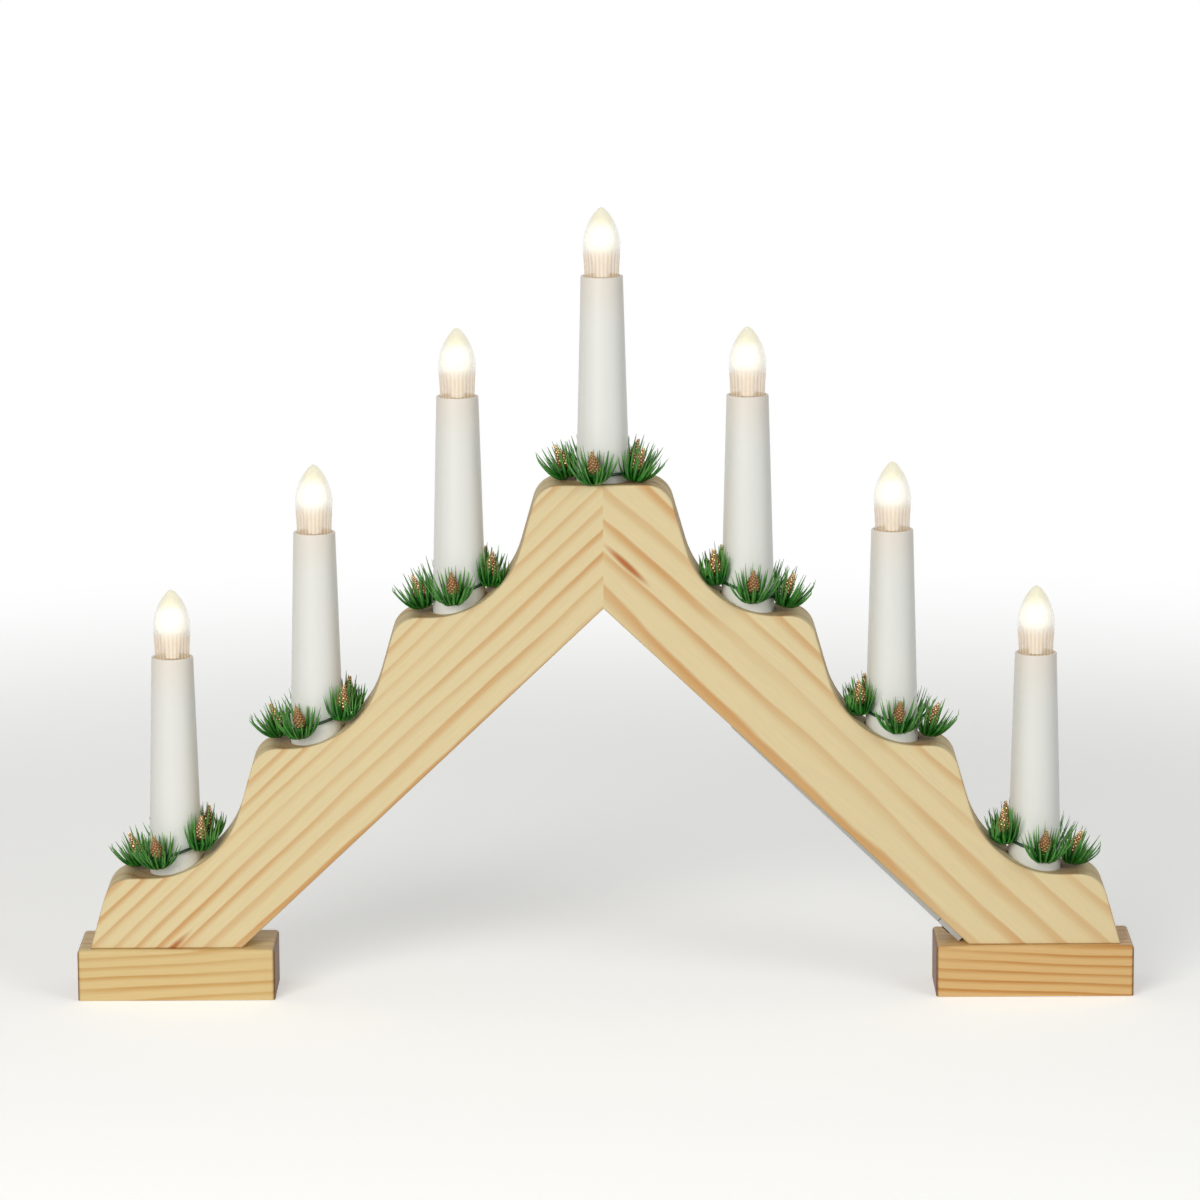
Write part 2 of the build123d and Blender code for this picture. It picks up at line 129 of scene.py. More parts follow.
def shaded(tree, tone, share):
    grey = node(tree, "ShaderNodeCombineColor", share, share, share).outputs[0]
    return mix_colour(tree, 1.0, tone, grey, "MULTIPLY")


print("mid grey, 128, becomes", round(colour(128, 128, 128)[0], 3))

# %% [markdown]
# A finish is read in the piece's own position, and not in flat picture coordinates,
# because the position has no seams and needs no unwrapping. Bump only bends the light on
# the surface, which is enough for relief of a few hundredths of a millimetre.

# %% Material helpers
def new_material(name):
    material = bpy.data.materials.new(name)
    material.use_nodes = True
    tree = material.node_tree
    return material, tree, tree.nodes["Principled BSDF"]


def own_position(tree):
    return node(tree, "ShaderNodeTexCoord").outputs["Object"]


def bump(tree, shader, height, distance, strength):
    made = node(tree, "ShaderNodeBump")
    made.inputs["Strength"].default_value = strength
    made.inputs["Distance"].default_value = distance
    tree.links.new(height, made.inputs["Height"])
    tree.links.new(made.outputs[0], shader.inputs["Normal"])


def dress(names, material):
    for name in names:
        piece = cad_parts[name]
        piece.data.materials.clear()
        piece.data.materials.append(material)


def build_group(name, inputs, outputs):
    group = bpy.data.node_groups.new(name, "ShaderNodeTree")
    for label, kind, value in inputs:
        socket = group.interface.new_socket(label, in_out="INPUT", socket_type=kind)
        if value is not None:
            socket.default_value = value
    for label, kind in outputs:
        group.interface.new_socket(label, in_out="OUTPUT", socket_type=kind)
    entry = group.nodes.new("NodeGroupInput")
    leave = group.nodes.new("NodeGroupOutput")
    return group, entry.outputs, leave.inputs


print("material helpers ready")

# %% [markdown]
# Pine shows its growth rings as soft tan lines. A picture of wood would only fit one face.
# Rings are cylinders round the tree's heart, so the group below measures the distance from
# a heart line that lies outside the board, and repeats a light and a dark part over each
# ring. Because it is worked out in space, the end grain and the curved steps agree with
# the faces beside them. Three kinds of noise, all drawn out along the board, then bend the
# rings, change their strength and lay fibres over them.

# %% The growth ring group
SLOW_BENDS = (5.0, 22.0, 22.0)
QUICK_RIPPLES = (30.0, 160.0, 160.0)
RIPPLE_REACH = 0.22
ACROSS_GRAIN = (0.0, 1.0, 1.0)
LATE_STARTS, LATE_PEAKS = 0.42, 0.88
RING_PATCHES = (9.0, 60.0, 60.0)
WEAK_PATCH, STRONG_PATCH = 0.3, 0.68
WEAKEST_RING = 0.25
FIBRES = (90.0, 2600.0, 2600.0)
FIBRE_SHADE = 0.16
FIBRE_DARKEST = 0.92
FIBRE_RELIEF_SHARE = 0.5


def ring_phase(group, given):
    # How many rings a point is away from the heart, with the bends added.
    slow = drawn_noise(group, given["Position"], SLOW_BENDS, 2.0)
    quick = drawn_noise(group, given["Position"], QUICK_RIPPLES, 2.0)
    away = vector_maths(group, "SUBTRACT", given["Position"], given["Heart"]).outputs[0]
    across = vector_maths(group, "MULTIPLY", away, ACROSS_GRAIN).outputs[0]
    distance = vector_maths(group, "LENGTH", across).outputs["Value"]
    turns = maths(group, "DIVIDE", distance, given["Ring Width"])
    wave = maths(group, "MULTIPLY", slow, given["Waviness"])
    ripple = maths(group, "MULTIPLY", quick, RIPPLE_REACH)
    return maths(group, "ADD", maths(group, "ADD", turns, wave), ripple)


def growth_ring_group():
    group, given, result = build_group(
        "growth_rings",
        [
            ("Position", "NodeSocketVector", None),
            ("Heart", "NodeSocketVector", None),
            ("Ring Width", "NodeSocketFloat", 6.0 * MM),
            ("Waviness", "NodeSocketFloat", 0.6),
            ("Early Wood", "NodeSocketColor", colour(229, 211, 166)),
            ("Late Wood", "NodeSocketColor", colour(205, 158, 100)),
        ],
        [("Colour", "NodeSocketColor"), ("Late Share", "NodeSocketFloat"), ("Height", "NodeSocketFloat")],
    )
    ring = maths(group, "FRACT", ring_phase(group, given))
    rise = soft_step(group, ring, LATE_STARTS, LATE_PEAKS)
    fall = soft_step(group, ring, LATE_PEAKS, 1.0)
    late = maths(group, "SUBTRACT", rise, fall)
    strength = drawn_noise(group, given["Position"], RING_PATCHES, 1.0)
    weight = soft_step(group, strength, WEAK_PATCH, STRONG_PATCH)
    late = maths(group, "MULTIPLY", late, scaled(group, weight, 1.0 - WEAKEST_RING, WEAKEST_RING))
    fibre = drawn_noise(group, given["Position"], FIBRES, 3.0, 0.6)
    wood = mix_colour(group, late, given["Early Wood"], given["Late Wood"])
    tinted = shaded(group, wood, scaled(group, fibre, FIBRE_SHADE, FIBRE_DARKEST))
    fibre_relief = maths(group, "MULTIPLY", fibre, FIBRE_RELIEF_SHARE)
    ring_relief = maths(group, "MULTIPLY", late, 1.0 - FIBRE_RELIEF_SHARE)
    height = maths(group, "ADD", fibre_relief, ring_relief)
    group.links.new(tinted, result["Colour"])
    group.links.new(late, result["Late Share"])
    group.links.new(height, result["Height"])
    return group


growth_rings = growth_ring_group()
print("group:", growth_rings.name, "nodes:", len(growth_rings.nodes))

# %% [markdown]
# One pine finish serves every board. It turns the position so that X runs along the grain,
# adds a few short red-brown streaks where resin gathered, and darkens the faces that the
# grain runs into. That darkening is partly end grain, which soaks up varnish, and partly
# painted shade for the end and step faces that stand out of the front light. How much a
# face is end grain is read from its own normal. Late wood is harder and takes a little more
# gloss.

# %% The pine finish
RESIN_CELLS = (9.0, 70.0, 70.0)
RESIN_EDGE, RESIN_CORE = 0.13, 0.03
RESIN_TONE = colour(188, 118, 70)
END_GRAIN_AND_SHADE_STARTS = 0.25
LATE_GLOSS = -0.08
WOOD_SHINE = 0.04
COAT_ROUGHNESS_SHARE = 0.5
GRAIN_RELIEF = 0.1 * MM
GRAIN_STRENGTH = 0.35


def turned_to_grain(tree, vector, turn):
    made = node(tree, "ShaderNodeVectorRotate", vector, rotation_type="Y_AXIS")
    made.inputs["Angle"].default_value = turn
    return made.outputs[0]


def pine(name, turn, heart, ring_width, waviness, tones, roughness, varnish=0.0):
    material, tree, shader = new_material(name)
    along_grain = turned_to_grain(tree, own_position(tree), turn)
    rings = node(tree, "ShaderNodeGroup", node_tree=growth_rings)
    tree.links.new(along_grain, rings.inputs["Position"])
    early, late, end_grain_and_shade_tone = tones
    settings = {"Heart": heart, "Ring Width": ring_width, "Waviness": waviness}
    settings.update({"Early Wood": early, "Late Wood": late})
    for label, value in settings.items():
        rings.inputs[label].default_value = value
    cells = vector_maths(tree, "MULTIPLY", along_grain, RESIN_CELLS).outputs[0]
    spots = node(tree, "ShaderNodeTexVoronoi", cells, None, 1.0)
    resin = soft_step(tree, spots.outputs["Distance"], RESIN_EDGE, RESIN_CORE)
    base = mix_colour(tree, resin, rings.outputs["Colour"], RESIN_TONE)
    normal = turned_to_grain(tree, node(tree, "ShaderNodeTexCoord").outputs["Normal"], turn)
    into_grain = maths(tree, "ABSOLUTE", node(tree, "ShaderNodeSeparateXYZ", normal).outputs["X"])
    # End grain and painted shade: faces that the grain runs into are darkened, which also shades the end
    # and step faces that stand out of the front light.
    end_grain_and_shade_share = soft_step(tree, into_grain, END_GRAIN_AND_SHADE_STARTS, 1.0)
    base = mix_colour(tree, end_grain_and_shade_share, base, end_grain_and_shade_tone, "MULTIPLY")
    tree.links.new(base, shader.inputs["Base Color"])
    gloss = scaled(tree, rings.outputs["Late Share"], LATE_GLOSS, roughness)
    tree.links.new(gloss, shader.inputs["Roughness"])
    shader.inputs["Specular IOR Level"].default_value = WOOD_SHINE
    shader.inputs["Coat Weight"].default_value = varnish
    shader.inputs["Coat Roughness"].default_value = roughness * COAT_ROUGHNESS_SHARE
    bump(tree, shader, rings.outputs["Height"], GRAIN_RELIEF, GRAIN_STRENGTH)
    return material


print("pine finish ready")

# %% [markdown]
# Both arms are cut with the grain running down their slope, so each turns the position by
# the arms' angle, one either way. The right arm has wider rings. The feet have nearly
# level grain, narrower rings, an oranger tone and a glossier varnish, and the right one is
# darker. Each board has its own heart line, so that no two show the same figure.

# %% The pine boards
ARM_ANGLE = math.radians(43.35)
# The third tone of each set is the end faces' colour: end grain, darkened further as painted shade.
ARM_TONES = (colour(229, 211, 166), colour(210, 162, 106), colour(170, 136, 108))
ARM_ROUGHNESS = 0.55
# The feet's end faces: end grain, with painted shade for the shade they stand in.
FOOT_END_GRAIN_AND_SHADE = colour(140, 100, 66)
LEFT_FOOT_TONES = (colour(223, 197, 142), colour(204, 160, 98), FOOT_END_GRAIN_AND_SHADE)
RIGHT_FOOT_TONES = (colour(223, 186, 128), colour(198, 142, 78), FOOT_END_GRAIN_AND_SHADE)
FOOT_HEART = (0.0, 50.0 * MM, -70.0 * MM)
FOOT_ROUGHNESS = 0.35
FOOT_VARNISH = 0.05

dress(["left_arm"], pine(
    "pine_left_arm", turn=ARM_ANGLE, heart=(0.0, 30.0 * MM, 85.0 * MM), ring_width=4.7 * MM,
    waviness=1.3, tones=ARM_TONES, roughness=ARM_ROUGHNESS,
))
dress(["right_arm"], pine(
    "pine_right_arm", turn=-ARM_ANGLE, heart=(0.0, 46.8 * MM, 75.0 * MM), ring_width=7.4 * MM,
    waviness=1.8, tones=ARM_TONES, roughness=ARM_ROUGHNESS,
))
dress(["left_foot"], pine(
    "pine_left_foot", turn=0.05, heart=FOOT_HEART, ring_width=3.6 * MM,
    waviness=2.4, tones=LEFT_FOOT_TONES, roughness=FOOT_ROUGHNESS, varnish=FOOT_VARNISH,
))
dress(["right_foot"], pine(
    "pine_right_foot", turn=-0.04, heart=FOOT_HEART, ring_width=3.0 * MM,
    waviness=2.2, tones=RIGHT_FOOT_TONES, roughness=FOOT_ROUGHNESS, varnish=FOOT_VARNISH,
))
dress(["apex_dowels"], pine(
    "dowel_wood", turn=0.0, heart=(0.0, 20.0 * MM, 20.0 * MM), ring_width=1.5 * MM,
    waviness=0.4, tones=ARM_TONES, roughness=0.6,
))
print("boards dressed: two arms, two feet and the dowels")

# %% [markdown]
# Moulded plastic is never quite even: it has a faint cloudiness, a very shallow skin from
# the mould, and handling marks that change its gloss. A single colour would look like
# paper. One group makes that unevenness, and each plastic piece uses it with its own tone,
# gloss and size of grain.

# %% The moulded surface group
CLOUD_SCALE = 60.0
CLOUD_SHADE = 0.03
CLOUD_DARKEST = 0.985
CLOUD_GLOSS = 0.06
SKIN_GRAIN = 900.0
SKIN_RELIEF = 0.01 * MM
SKIN_STRENGTH = 0.4


def moulded_group():
    group, given, result = build_group(
        "moulded_surface",
        [
            ("Position", "NodeSocketVector", None),
            ("Colour", "NodeSocketColor", colour(228, 229, 224)),
            ("Roughness", "NodeSocketFloat", 0.35),
            ("Grain", "NodeSocketFloat", SKIN_GRAIN),
        ],
        [("Colour", "NodeSocketColor"), ("Roughness", "NodeSocketFloat"), ("Height", "NodeSocketFloat")],
    )
    cloud = noise(group, given["Position"], CLOUD_SCALE, 3.0, 0.55)
    speck = noise(group, given["Position"], given["Grain"], 2.0)
    tinted = shaded(group, given["Colour"], scaled(group, cloud, CLOUD_SHADE, CLOUD_DARKEST))
    change = maths(group, "MULTIPLY", maths(group, "SUBTRACT", cloud, 0.5), CLOUD_GLOSS)
    group.links.new(tinted, result["Colour"])
    group.links.new(maths(group, "ADD", given["Roughness"], change), result["Roughness"])
    group.links.new(speck, result["Height"])
    return group


moulded = moulded_group()


def plastic(name, tone, roughness, grain=SKIN_GRAIN, relief=SKIN_RELIEF):
    material, tree, shader = new_material(name)
    skin = node(tree, "ShaderNodeGroup", node_tree=moulded)
    tree.links.new(own_position(tree), skin.inputs["Position"])
    skin.inputs["Colour"].default_value = tone
    skin.inputs["Roughness"].default_value = roughness
    skin.inputs["Grain"].default_value = grain
    tree.links.new(skin.outputs["Colour"], shader.inputs["Base Color"])
    tree.links.new(skin.outputs["Roughness"], shader.inputs["Roughness"])
    bump(tree, shader, skin.outputs["Height"], relief, SKIN_STRENGTH)
    return material, tree, shader, skin


print("group:", moulded.name, "nodes:", len(moulded.nodes))

# %% [markdown]
# The candle sleeves are white plastic tubes, drawn out when they were moulded, which left
# faint upright streaks. Near the lamp a little warm light comes through the wall. Real
# light through a thin wall is slow to work out and hardly shows, so the warmth is a tint
# over the top of the tube instead. Each sleeve has its own copy, which knows its top.

# %% Candle sleeves
CANDLES = range(1, 8)
SLEEVE_WHITE = colour(236, 237, 232)
SLEEVE_ROUGHNESS = 0.34
SLEEVE_RELIEF = 0.004 * MM
WARM_TONE = colour(240, 226, 208)
WARM_LENGTH = 22.0 * MM
WARM_SHARE = 0.5
STREAK_TONE = colour(214, 206, 200)
STREAK_CELLS = (700.0, 700.0, 12.0)
STREAK_SHARE = 0.08


def sleeve_plastic(number):
    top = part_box(f"candle_sleeve_{number}")[1][2]
    material, tree, shader, skin = plastic(
        f"sleeve_plastic_{number}", SLEEVE_WHITE, SLEEVE_ROUGHNESS, relief=SLEEVE_RELIEF
    )
    height = node(tree, "ShaderNodeSeparateXYZ", own_position(tree)).outputs["Z"]
    warm = maths(tree, "MULTIPLY", soft_step(tree, height, top - WARM_LENGTH, top), WARM_SHARE)
    tinted = mix_colour(tree, warm, skin.outputs["Colour"], WARM_TONE)
    streak = drawn_noise(tree, own_position(tree), STREAK_CELLS, 2.0)
    streaked = mix_colour(tree, maths(tree, "MULTIPLY", streak, STREAK_SHARE), tinted, STREAK_TONE)
    tree.links.new(streaked, shader.inputs["Base Color"])
    return material


for number in CANDLES:
    dress([f"candle_sleeve_{number}"], sleeve_plastic(number))
print("sleeves dressed:", len(CANDLES))

# %% [markdown]
# The metal pieces are turned, drawn or pressed, and each has fine lines from that work.
# They could be cut as relief, but lines this fine only show as a change of gloss, so long
# thin noise cells change the roughness and, a little, the tone and the surface.

# %% Brushed metal
BRUSH_LINES = (1400.0, 60.0, 1400.0)
BRUSH_GLOSS = 0.2
WORN_SHARE = 0.8
BRUSH_RELIEF = 0.03 * MM
BRUSH_STRENGTH = 0.4


def metal(name, tone, roughness):
    material, tree, shader = new_material(name)
    brush = drawn_noise(tree, own_position(tree), BRUSH_LINES, 2.0, 0.6)
    spread = scaled(tree, brush, BRUSH_GLOSS, roughness - BRUSH_GLOSS / 2)
    tree.links.new(spread, shader.inputs["Roughness"])
    worn = tuple(WORN_SHARE * part for part in tone[:3]) + (1.0,)
    tree.links.new(mix_colour(tree, brush, tone, worn), shader.inputs["Base Color"])
    shader.inputs["Metallic"].default_value = 1.0
    bump(tree, shader, brush, BRUSH_RELIEF, BRUSH_STRENGTH)
    return material


METAL_PIECES = (
    ("battery_cells", "cell_jacket", colour(150, 150, 156), 0.35),
    ("battery_contacts", "contact_nickel", colour(200, 198, 190), 0.3),
    ("foot_screws", "screw_zinc", colour(190, 190, 186), 0.35),
)
for node_name, finish, tone, roughness in METAL_PIECES:
    dress([node_name], metal(finish, tone, roughness))
cap_nickel = metal("cap_nickel", colour(208, 200, 176), 0.25)
dress([f"lamp_base_{number}" for number in CANDLES], cap_nickel)
print("metal pieces dressed:", len(METAL_PIECES) + len(CANDLES))

# %% [markdown]
# The remaining plain pieces are moulded: the grey battery box and its lid, the black knob,
# the holders and wires inside the sleeves, the white screw head and the green wreath
# rings. They share the moulded group, so a row of tones and glosses is all they need. The
# box and its lid have a finer grain, like the texture of a mould that isn't polished.

# %% Plain plastic pieces
FINE_GRAIN = 1500.0
PLASTIC_PIECES = (
    ("battery_box", "box_grey", colour(190, 192, 191), 0.5, FINE_GRAIN),
    # The lid's tone is its grey plastic, made darker as painted shade for the shade on it from below.
    ("battery_lid", "lid_grey", colour(184, 187, 186), 0.5, FINE_GRAIN),
    ("switch_knob", "knob_black", colour(38, 38, 40), 0.45, SKIN_GRAIN),
    ("lampholders", "holder_white", colour(222, 220, 212), 0.5, SKIN_GRAIN),
    ("wiring", "wire_cover", colour(206, 204, 190), 0.5, SKIN_GRAIN),
    ("flange_screw", "screw_white", colour(236, 236, 232), 0.3, SKIN_GRAIN),
)
for node_name, finish, tone, roughness, grain in PLASTIC_PIECES:
    dress([node_name], plastic(finish, tone, roughness, grain)[0])
ring_green = plastic("ring_green", colour(16, 52, 26), 0.45)[0]
dress([f"wreath_ring_{number}" for number in CANDLES], ring_green)
print("plain pieces dressed:", len(PLASTIC_PIECES) + len(CANDLES))

# %% [markdown]
# The pieces made here all go through one mesh helper: it takes points and faces, makes the
# object, smooths it, rides it on its moving body and hides the simple solid it stands
# for. Needles and cone scales also store how far along each point is, from root to tip,
# which their finishes read.

# %% Mesh helper
def make_piece(name, shape, material, body, replaced=None, smooth=True):
    points, faces, *along = shape
    mesh = bpy.data.meshes.new(name)
    mesh.from_pydata(points, [], faces)
    if along:
        mesh.attributes.new("along", "FLOAT", "POINT").data.foreach_set("value", along[0])
    for face in mesh.polygons:
        face.use_smooth = smooth
    mesh.materials.append(material)
    piece = bpy.data.objects.new(name, mesh)
    bpy.context.scene.collection.objects.link(piece)
    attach(piece, body)
    if replaced:
        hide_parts(replaced)


def moved(points, matrix):
    return [tuple(matrix @ Vector(point)) for point in points]


print("mesh helper ready")

# %% [markdown]
# Bulbs, the cups of the tufts and the cones are all turned forms, as if cut on a lathe.
# Blender's spin tool would do for a plain one. Points set by a formula can also change
# with the angle, which the ribbed bulbs need, so the lathe here asks for the radius at
# each height and angle. A single point closes each end.

# %% Lathe
def lathe(rings, sides, radius_at):
    points = [(0.0, 0.0, rings[0])]
    for height in rings:
        for side in range(sides):
            turn = 2 * math.pi * side / sides
            radius = radius_at(height, turn)
            points.append((radius * math.cos(turn), radius * math.sin(turn), height))
    points.append((0.0, 0.0, rings[-1]))
    faces = []
    for row in range(len(rings) - 1):
        low = 1 + row * sides
        for side in range(sides):
            after = (side + 1) % sides
            faces.append((low + side, low + after, low + sides + after, low + sides + side))
    last = 1 + (len(rings) - 1) * sides
    for side in range(sides):
        after = (side + 1) % sides
        faces.append((0, 1 + after, 1 + side))
        faces.append((last + side, last + after, len(points) - 1))
    return points, faces


print("faces of a six-sided tube:", len(lathe([0.0, MM], 6, lambda height, turn: MM)[1]))

# %% [markdown]
# The lamps are clear flame-shaped bulbs whose foot has upright ribs. When lit, a white glow
# fills the belly, narrows towards the ribbed foot and leaves the tip a pale yellow. A
# thread with a real light inside thick glass would need many light paths to look right.
# Here the envelope is a thin ribbed form, partly clear, and the glow is a separate bright
# core inside it. Both follow an outline of heights and radii.

# %% Bulb and glow shapes
BULB_HEIGHT = 26.3 * MM
RIBS = 26
RIB_DEPTH = 0.3 * MM
RIBS_END = 0.42
RIB_FADE = 0.12
BULB_STEPS = 40
BULB_SIDES = 6 * RIBS
GLOW_SIDES = 48
# Each point is a share of the bulb's height, from the sleeve's rim up, and a radius in millimetres.
BULB_OUTLINE = (
    (-0.1, 6.55), (0.0, 6.68), (0.15, 6.8), (0.29, 7.05), (0.47, 7.35), (0.56, 7.05), (0.65, 6.45),
    (0.74, 5.6), (0.82, 4.5), (0.89, 3.3), (0.95, 2.0), (0.985, 1.0), (1.0, 0.15),
)
GLOW_OUTLINE = (
    (-0.05, 2.4), (0.1, 2.8), (0.2, 3.4), (0.3, 4.2), (0.4, 5.9), (0.5, 6.5), (0.6, 6.1),
    (0.7, 5.0), (0.78, 3.6), (0.84, 1.8), (0.87, 0.2),
)


def outline_radius(outline, share):
    # A straight stretch between each point and the next.
    for (low, first), (high, second) in zip(outline, outline[1:]):
        if share <= high:
            part = max(0.0, (share - low) / (high - low))
            return (first + (second - first) * part) * MM
    return outline[-1][1] * MM


def ring_heights(outline):
    # The rings lie closer together towards the tip, where the outline turns in.
    low, high = outline[0][0], outline[-1][0]
    shares = [math.sin(math.pi / 2 * step / BULB_STEPS) for step in range(BULB_STEPS + 1)]
    return [(low + (high - low) * share) * BULB_HEIGHT for share in shares]


def bulb_surface(height, turn):
    share = height / BULB_HEIGHT
    fade = min(1.0, max(0.0, (RIBS_END - share) / RIB_FADE))
    return outline_radius(BULB_OUTLINE, share) - RIB_DEPTH * fade * (0.5 + 0.5 * math.cos(RIBS * turn))


def glow_surface(height, turn):
    return outline_radius(GLOW_OUTLINE, height / BULB_HEIGHT)


bulb_points, bulb_faces = lathe(ring_heights(BULB_OUTLINE), BULB_SIDES, bulb_surface)
glow_points, glow_faces = lathe(ring_heights(GLOW_OUTLINE), GLOW_SIDES, glow_surface)
print("bulb:", len(bulb_points), "points, glow:", len(glow_points), "points")

# %% [markdown]
# The envelope's finish is pale and mostly clear. Its own faint light is peach in the
# ribbed foot, where the glow is thin, and pale yellow at the tip. The ribs are counted out
# by the angle round the bulb, and their hollows get painted shade: darker than the crests,
# in the colour and in the envelope's own light, so the painted shade stays in step with
# the shape.

# %% Envelope finish
FOOT_GLOW_ENDS, FOOT_GLOW_FULL = 0.46, 0.26
TIP_GLOW_STARTS, TIP_GLOW_FULL = 0.66, 0.86
CREST_LIT_TONE, HOLLOW_PAINTED_SHADE = colour(238, 224, 202), colour(214, 186, 152)
BELLY_TONE, TIP_TONE = colour(246, 244, 234), colour(240, 234, 196)
ENVELOPE_LIGHT = 0.14
ENVELOPE_COAT = 0.4
CLEAREST = 0.3
ENDS_THICKER = 0.22
TIP_THICKNESS = 0.7
SWIRL_SCALE = 500.0
SWIRL_GLOSS = 0.1
SWIRL_RELIEF = 0.02 * MM
SWIRL_STRENGTH = 0.3
ENVELOPE_ROUGHNESS = 0.08


def envelope_plastic(number, centre):
    material, tree, shader = new_material(f"bulb_plastic_{number}")
    place = node(tree, "ShaderNodeSeparateXYZ", own_position(tree)).outputs
    share = maths(tree, "DIVIDE", maths(tree, "SUBTRACT", place["Z"], centre.z), BULB_HEIGHT)
    foot = soft_step(tree, share, FOOT_GLOW_ENDS, FOOT_GLOW_FULL)
    tip = soft_step(tree, share, TIP_GLOW_STARTS, TIP_GLOW_FULL)
    turn = maths(tree, "ARCTAN2", place["Y"], maths(tree, "SUBTRACT", place["X"], centre.x))
    rib = maths(tree, "COSINE", maths(tree, "MULTIPLY", turn, float(RIBS)))
    # Painted shade: the rib hollows are darker than the crests, in the colour and in the envelope's own
    # light.
    ribbed = mix_colour(tree, scaled(tree, rib, 0.5, 0.5), CREST_LIT_TONE, HOLLOW_PAINTED_SHADE)
    tone = mix_colour(tree, foot, BELLY_TONE, ribbed)
    tone = mix_colour(tree, tip, tone, TIP_TONE)
    tree.links.new(tone, shader.inputs["Base Color"])
    tree.links.new(tone, shader.inputs["Emission Color"])
    shader.inputs["Emission Strength"].default_value = ENVELOPE_LIGHT
    swirl = noise(tree, own_position(tree), SWIRL_SCALE, 2.0)
    tree.links.new(scaled(tree, swirl, SWIRL_GLOSS, ENVELOPE_ROUGHNESS), shader.inputs["Roughness"])
    ends = maths(tree, "MAXIMUM", foot, maths(tree, "MULTIPLY", tip, TIP_THICKNESS))
    tree.links.new(scaled(tree, ends, ENDS_THICKER, CLEAREST), shader.inputs["Alpha"])
    shader.inputs["Coat Weight"].default_value = ENVELOPE_COAT
    bump(tree, shader, swirl, SWIRL_RELIEF, SWIRL_STRENGTH)
    return material


print("envelope: at its clearest", 1.0 - CLEAREST, "of the light passes")

# %% [markdown]
# Inside each bulb is the glow. It could be a lamp object, but then nothing would be seen
# through the envelope, so it is a shape with a finish that gives light. It is kept low,
# because the white of the belly should still show the form and not burn out.

# %% Glow finish and the lamps
GLOW_STRENGTH = 0.3
WAVER_SCALE = 160.0


def glow_light():
    material, tree, shader = new_material("lamp_glow")
    waver = noise(tree, own_position(tree), WAVER_SCALE, 1.0)
    tone = mix_colour(tree, waver, colour(255, 250, 238), colour(255, 254, 250))
    tree.links.new(tone, shader.inputs["Base Color"])
    tree.links.new(tone, shader.inputs["Emission Color"])
    shader.inputs["Emission Strength"].default_value = GLOW_STRENGTH
    return material


glow_material = glow_light()
for number in CANDLES:
    low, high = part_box(f"candle_sleeve_{number}")
    centre = Vector(((low[0] + high[0]) / 2, (low[1] + high[1]) / 2, high[2]))
    place = Matrix.Translation(centre)
    body = f"flame_bulb_{number}"
    envelope = (moved(bulb_points, place), bulb_faces)
    glow = (moved(glow_points, place), glow_faces)
    make_piece(f"ribbed_bulb_{number}", envelope, envelope_plastic(number, centre), body, body)
    make_piece(f"bulb_glow_{number}", glow, glow_material, body)
print("lamps made:", len(CANDLES))

# %% [markdown]
# Each wreath has five tufts of moulded pine needles, spread like shuttlecocks. Hair strands
# would be quick to grow, but they have no thickness as a mesh, so a needle
# here is a real blade: tapered, curved, with three sides. It leaves the cup flat and then
# bends up, which gives the tuft its round bottom.

# %% One needle
TUFT_HEIGHT = 15.6 * MM
TUFT_RADIUS = 9.6 * MM
NEEDLE_STEPS = 7
OUT_CURVE = 0.55
UP_CURVE = 1.35
LEAN_DROP = 0.5
BLADE_TURN = Vector((0.31, 0.21, 0.93))
TIP_TAPER, TAPER_CURVE = 0.9, 1.8
ROOT_WIDTH, SWELL = 0.7, 0.6
BLADE_FLATNESS = 0.6


def needle_line(turn, spread, reach, lean, inner_limit, outer_limit, side_share):
    # The middle line of one needle, with +X away from the candle.
    line = []
    tilt = math.radians(lean)
    for step in range(NEEDLE_STEPS + 1):
        share = step / NEEDLE_STEPS
        out = TUFT_RADIUS * spread * share ** OUT_CURVE
        rise = TUFT_HEIGHT * reach * share ** UP_CURVE
        ahead = out * math.cos(turn)
        aside = out * math.sin(turn) * side_share
        x = ahead + rise * math.sin(tilt)
        z = -ahead * math.sin(tilt) * LEAN_DROP + rise * math.cos(tilt)
        line.append(Vector((min(max(x, -inner_limit), outer_limit), aside, max(z, 0.0))))
    return line


def blade(line, width, points, faces, along):
    # Three corners round each point of the line, turned by a direction that no needle runs in.
    first = len(points)
    for step, here in enumerate(line):
        before = line[max(0, step - 1)]
        after = line[min(len(line) - 1, step + 1)]
        direction = (after - before).normalized()
        side = direction.cross(BLADE_TURN).normalized()
        up = side.cross(direction)
        share = step / (len(line) - 1)
        size = width * (1.0 - TIP_TAPER * share ** TAPER_CURVE) * (ROOT_WIDTH + SWELL * min(share, 0.5))
        for corner in range(3):
            turn = 2 * math.pi * corner / 3
            offset = side * size * math.cos(turn) + up * size * BLADE_FLATNESS * math.sin(turn)
            points.append(tuple(here + offset))
            along.append(share)
    for step in range(len(line) - 1):
        for corner in range(3):
            low = first + step * 3 + corner
            high = first + step * 3 + (corner + 1) % 3
            faces.append((low, high, high + 3, low + 3))
    faces.append((first, first + 2, first + 1))
    last = first + 3 * (len(line) - 1)
    faces.append((last, last + 1, last + 2))


straight_needle = needle_line(0.0, 1.0, 1.0, 0.0, TUFT_RADIUS, TUFT_RADIUS, 1.0)
print("a full needle ends", round(straight_needle[-1].z / MM, 1), "mm up")

# %% [markdown]
# A tuft has three rows of needles, the outer one longest and flattest, over a small cup.
# The side that faces the candle is held back by the sleeve, and a tuft on the uphill side
# is squeezed between the sleeve and the timber, so it leans less and is narrower. In front
# of the cone the inner needles are short, which leaves it in view. A seed of its own for
# each tuft makes no two alike, and the same ones on each run.

# %% One tuft
NEEDLE_WIDTH = 0.92 * MM
